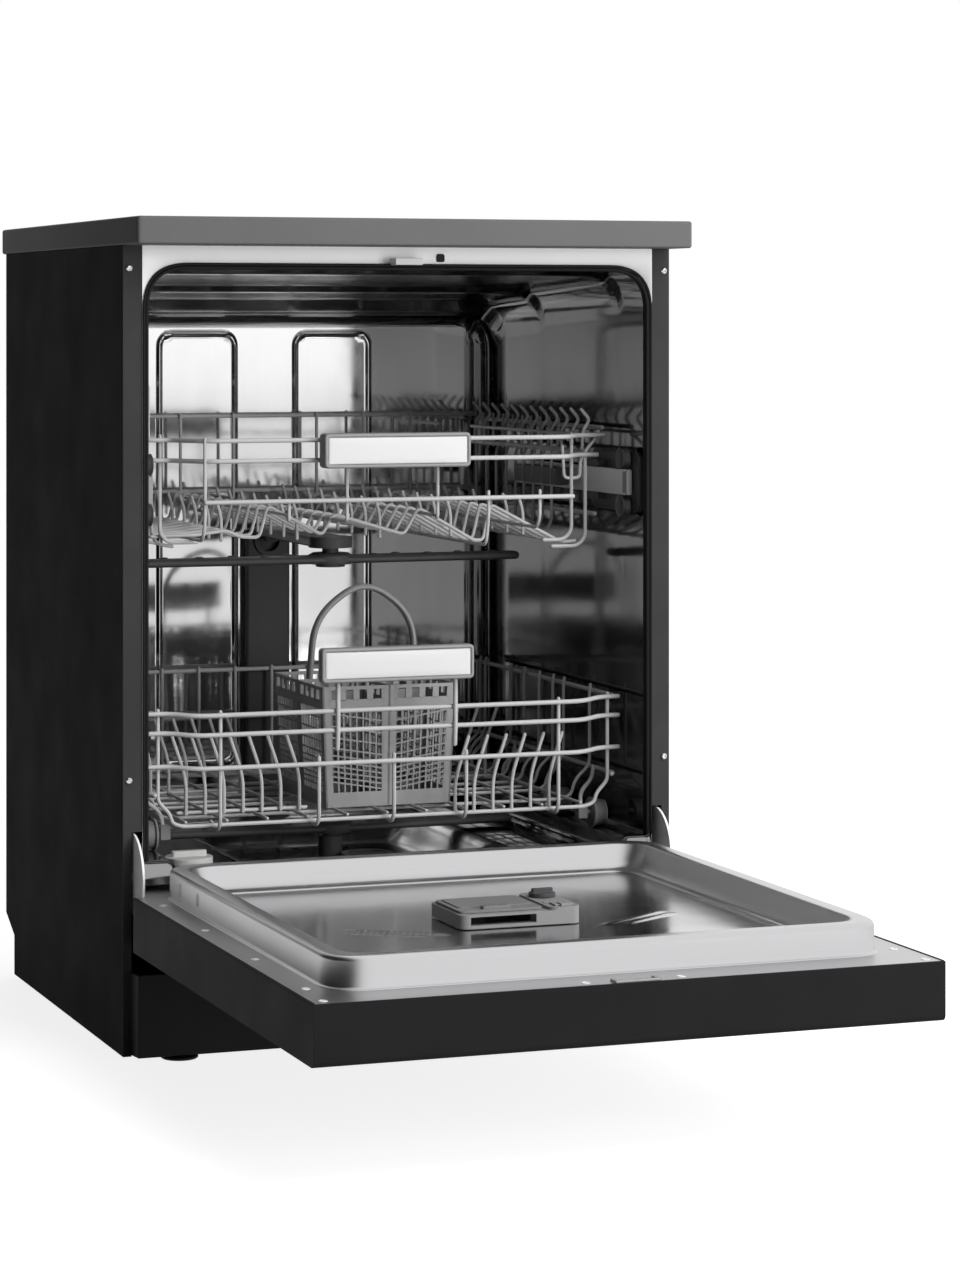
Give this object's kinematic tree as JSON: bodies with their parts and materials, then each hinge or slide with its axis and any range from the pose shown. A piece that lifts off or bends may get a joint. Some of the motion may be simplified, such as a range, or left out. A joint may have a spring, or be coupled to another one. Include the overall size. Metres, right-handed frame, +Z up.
{
  "type": "freestanding dishwasher",
  "caption": "Freestanding dishwasher with a drop-down door, two wire racks that roll out, spray arms, dispenser and a black casing with worktop.",
  "frame": {"origin": "on the floor, under the middle of the cabinet", "axes": "+X to the right seen from the front, +Y to the rear, +Z up"},
  "size_m": [0.598, 1.161, 0.845],
  "materials": {
    "black_casing": "black satin paint",
    "black_laminate": "laminated board, black satin",
    "stainless": "bright stainless sheet",
    "galvanised": "zinc-coated sheet",
    "coated_wire": "silver-grey plastic-coated steel wire",
    "grey_plastic": "mid-grey moulded plastic",
    "pale_plastic": "near-white moulded plastic",
    "black_plastic": "black moulded plastic",
    "gloss_black": "gloss black",
    "base_plastic": "dark grey moulded plastic",
    "white_plastic": "natural white moulded plastic",
    "seal_rubber": "dark grey seal rubber",
    "ballast": "cast concrete",
    "bright_steel": "bright plated steel"
  },
  "bodies": {
    "cabinet": {"base_tray": "base_plastic", "left_side_panel": "black_casing", "right_side_panel": "black_casing", "worktop": "black_laminate", "back_panel": "galvanised", "front_pillars": "black_casing", "plinth": "black_casing", "tub": "stainless", "tub_seal": "seal_rubber", "sump": "base_plastic", "filter_plate": "stainless", "circulation_pump": "base_plastic", "drain_pump": "base_plastic", "inlet_valve": "white_plastic", "cable_gland": "black_plastic", "counterweight": "ballast", "water_tank": "white_plastic", "hinge_brackets": "galvanised", "feed_duct": "grey_plastic", "roller_brackets": "galvanised", "striker": "white_plastic", "casing_screws": "bright_steel"},
    "door": {"door_panel": "black_casing", "control_panel": "black_plastic", "door_liner": "stainless", "display_window": "gloss_black", "door_latch": "black_plastic", "dispenser_body": "grey_plastic", "hinge_arms": "bright_steel"},
    "dispenser_lid": {"dispenser_lid": "grey_plastic"},
    "rinse_cap": {"rinse_cap": "grey_plastic"},
    "power_button": {"power_button": "gloss_black"},
    "program_button": {"program_button": "gloss_black"},
    "start_button": {"start_button": "gloss_black"},
    "lower_rack": {"lower_basket": "coated_wire", "lower_handle": "grey_plastic", "lower_handle_insert": "pale_plastic", "cutlery_basket": "grey_plastic"},
    "tine_row": {"tine_row": "coated_wire"},
    "upper_rails": {"upper_rails": "bright_steel"},
    "upper_rack": {"upper_basket": "coated_wire", "upper_handle": "grey_plastic", "upper_handle_insert": "pale_plastic", "upper_feed_pipe": "grey_plastic"},
    "cup_shelf": {"cup_shelf": "coated_wire"},
    "upper_spray_arm": {"upper_spray_arm": "grey_plastic"},
    "lower_spray_arm": {"lower_spray_arm": "grey_plastic"},
    "rollers_above": {"rollers_above": "grey_plastic"},
    "rollers_below": {"rollers_below": "grey_plastic"},
    "filter_cup": {"filter_cup": "grey_plastic"},
    "salt_cap": {"salt_cap": "grey_plastic"},
    "door_switch": {"door_switch": "black_plastic"},
    "front_left_foot": {"front_left_foot": "black_plastic"},
    "front_right_foot": {"front_right_foot": "black_plastic"},
    "rear_left_foot": {"rear_left_foot": "black_plastic"},
    "rear_right_foot": {"rear_right_foot": "black_plastic"},
    "lower_wheels_1": {"lower_wheels_1": "grey_plastic"},
    "lower_wheels_2": {"lower_wheels_2": "grey_plastic"},
    "lower_wheels_3": {"lower_wheels_3": "grey_plastic"},
    "lower_wheels_4": {"lower_wheels_4": "grey_plastic"}
  },
  "joints": [
    {"name": "door_hinge", "type": "hinge", "parent": "cabinet", "child": "door", "pos_m": [0, -0.2295, 0.1815], "axis": [1, 0, 0], "range_deg": [-90, 0]},
    {"name": "lower_rack_slide", "type": "slide", "parent": "cabinet", "child": "lower_rack", "axis": [0, -1, 0], "range_m": [0, 0.494]},
    {"name": "upper_rail_slide", "type": "slide", "parent": "cabinet", "child": "upper_rails", "axis": [0, -1, 0], "range_m": [0, 0.188]},
    {"name": "upper_rack_slide", "type": "slide", "parent": "upper_rails", "child": "upper_rack", "axis": [0, -1, 0], "range_m": [0, 0.09]},
    {"name": "tine_row_fold", "type": "hinge", "parent": "lower_rack", "child": "tine_row", "pos_m": [0, -0.171, 0.235], "axis": [1, 0, 0], "range_deg": [-80, 0]},
    {"name": "cup_shelf_fold", "type": "hinge", "parent": "upper_rack", "child": "cup_shelf", "pos_m": [0.2395, 0, 0.6], "axis": [0, 1, 0], "range_deg": [-85, 0]},
    {"name": "upper_spray_spin", "type": "hinge", "parent": "upper_rack", "child": "upper_spray_arm", "pos_m": [0, 0.004, 0.48], "axis": [0, 0, 1], "continuous": true},
    {"name": "lower_spray_spin", "type": "hinge", "parent": "cabinet", "child": "lower_spray_arm", "pos_m": [0, 0.004, 0.186], "axis": [0, 0, 1], "continuous": true},
    {"name": "dispenser_lid_slide", "type": "slide", "parent": "door", "child": "dispenser_lid", "axis": [0, -1, 0], "range_m": [0, 0.062]},
    {"name": "rinse_cap_turn", "type": "hinge", "parent": "door", "child": "rinse_cap", "pos_m": [0.045, -0.5145, 0.187], "axis": [0, 0, 1], "range_deg": [0, 90]},
    {"name": "filter_cup_turn", "type": "hinge", "parent": "cabinet", "child": "filter_cup", "pos_m": [0.034, -0.022, 0.15], "axis": [0, 0, 1], "range_deg": [0, 90]},
    {"name": "salt_cap_turn", "type": "hinge", "parent": "cabinet", "child": "salt_cap", "pos_m": [-0.2, -0.135, 0.18], "axis": [0, 0, 1], "range_deg": [0, 360]},
    {"name": "door_switch_press", "type": "slide", "parent": "cabinet", "child": "door_switch", "axis": [0, 1, 0], "range_m": [0, 0.0018], "stiffness_N_per_m": 300},
    {"name": "power_button_press", "type": "slide", "parent": "door", "child": "power_button", "axis": [0, 0, 1], "range_m": [0, 0.0012], "stiffness_N_per_m": 300},
    {"name": "program_button_press", "type": "slide", "parent": "door", "child": "program_button", "axis": [0, 0, 1], "range_m": [0, 0.0012], "stiffness_N_per_m": 300},
    {"name": "start_button_press", "type": "slide", "parent": "door", "child": "start_button", "axis": [0, 0, 1], "range_m": [0, 0.0012], "stiffness_N_per_m": 300},
    {"name": "rollers_above_spin", "type": "hinge", "parent": "cabinet", "child": "rollers_above", "pos_m": [0, -0.198, 0.5945], "axis": [1, 0, 0], "continuous": true},
    {"name": "rollers_below_spin", "type": "hinge", "parent": "cabinet", "child": "rollers_below", "pos_m": [0, -0.198, 0.5435], "axis": [1, 0, 0], "continuous": true},
    {"name": "lower_wheels_1_spin", "type": "hinge", "parent": "lower_rack", "child": "lower_wheels_1", "pos_m": [0, 0.182, 0.212], "axis": [1, 0, 0], "continuous": true},
    {"name": "lower_wheels_2_spin", "type": "hinge", "parent": "lower_rack", "child": "lower_wheels_2", "pos_m": [0, 0.079, 0.212], "axis": [1, 0, 0], "continuous": true},
    {"name": "lower_wheels_3_spin", "type": "hinge", "parent": "lower_rack", "child": "lower_wheels_3", "pos_m": [0, -0.052, 0.212], "axis": [1, 0, 0], "continuous": true},
    {"name": "lower_wheels_4_spin", "type": "hinge", "parent": "lower_rack", "child": "lower_wheels_4", "pos_m": [0, -0.155, 0.212], "axis": [1, 0, 0], "continuous": true},
    {"name": "front_left_foot_level", "type": "slide", "parent": "cabinet", "child": "front_left_foot", "axis": [0, 0, -1], "range_m": [0, 0.03]},
    {"name": "front_right_foot_level", "type": "slide", "parent": "cabinet", "child": "front_right_foot", "axis": [0, 0, -1], "range_m": [0, 0.03]},
    {"name": "rear_left_foot_level", "type": "slide", "parent": "cabinet", "child": "rear_left_foot", "axis": [0, 0, -1], "range_m": [0, 0.03]},
    {"name": "rear_right_foot_level", "type": "slide", "parent": "cabinet", "child": "rear_right_foot", "axis": [0, 0, -1], "range_m": [0, 0.03]}
  ],
  "couplings": [
    {"joint": "lower_wheels_1_spin", "follows": "lower_rack_slide", "rad_per_m": 71.429},
    {"joint": "lower_wheels_2_spin", "follows": "lower_rack_slide", "rad_per_m": 71.429},
    {"joint": "lower_wheels_3_spin", "follows": "lower_rack_slide", "rad_per_m": 71.429},
    {"joint": "lower_wheels_4_spin", "follows": "lower_rack_slide", "rad_per_m": 71.429},
    {"joint": "rollers_above_spin", "follows": "upper_rail_slide", "rad_per_m": -85.47},
    {"joint": "rollers_below_spin", "follows": "upper_rail_slide", "rad_per_m": 85.47}
  ]
}
